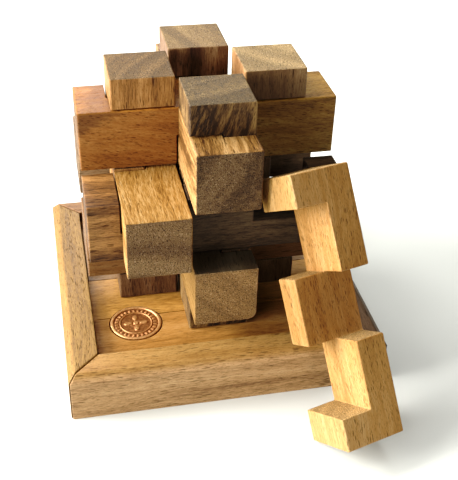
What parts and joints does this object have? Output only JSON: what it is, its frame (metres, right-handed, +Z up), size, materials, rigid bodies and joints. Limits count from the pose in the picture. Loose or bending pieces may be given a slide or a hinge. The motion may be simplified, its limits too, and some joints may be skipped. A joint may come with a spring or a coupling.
{
  "type": "burr puzzle",
  "caption": "Interlocking wooden burr puzzle of half-lapped square sticks standing in a shallow square tray, with one stick taken out and leaning on its front.",
  "frame": {"origin": "centre of the tray's underside, on the surface it stands on", "axes": "+Z up, +X to the right, +Y to the back; the tray's sides lie along X and Y"},
  "size_m": [0.0996, 0.1371, 0.092],
  "materials": {
    "stick_golden": "oiled satin",
    "stick_tan": "oiled satin",
    "stick_orange": "oiled satin",
    "stick_brown": "oiled satin",
    "stick_dark": "oiled satin",
    "tray_rim": "oiled satin",
    "tray_floor": "oiled satin",
    "medallion_metal": "reddish aged bronze"
  },
  "bodies": {
    "tray": {"rail_front": "tray_rim", "rail_back": "tray_rim", "rail_left": "tray_rim", "rail_right": "tray_rim", "floor_board_front": "tray_floor", "floor_board_middle_front": "tray_floor", "floor_board_middle_back": "tray_floor", "floor_board_back": "tray_floor", "medallion": "medallion_metal"},
    "standing_half": {"upright_left": "stick_tan", "upright_right": "stick_brown", "cross_stick_top": "stick_orange", "cross_stick_bottom": "stick_orange", "through_stick_top": "stick_tan", "through_stick_bottom": "stick_tan"},
    "sliding_half": {"upright_front": "stick_dark", "upright_back": "stick_brown", "cross_stick_front": "stick_dark", "cross_stick_back": "stick_brown", "through_stick_left": "stick_golden"},
    "loose_stick": {"loose_stick": "stick_golden"}
  },
  "joints": [
    {"name": "burr_lift", "type": "slide", "parent": "tray", "child": "standing_half", "axis": [0, 0, 1], "range_m": [0, 0.08]},
    {"name": "half_slide", "type": "slide", "parent": "standing_half", "child": "sliding_half", "axis": [1, 0, 0], "range_m": [0, 0.02]},
    {"name": "loose_stick_lift", "type": "slide", "parent": "sliding_half", "child": "loose_stick", "axis": [0, -0.7071, 0.7071], "range_m": [0, 0.08]}
  ]
}
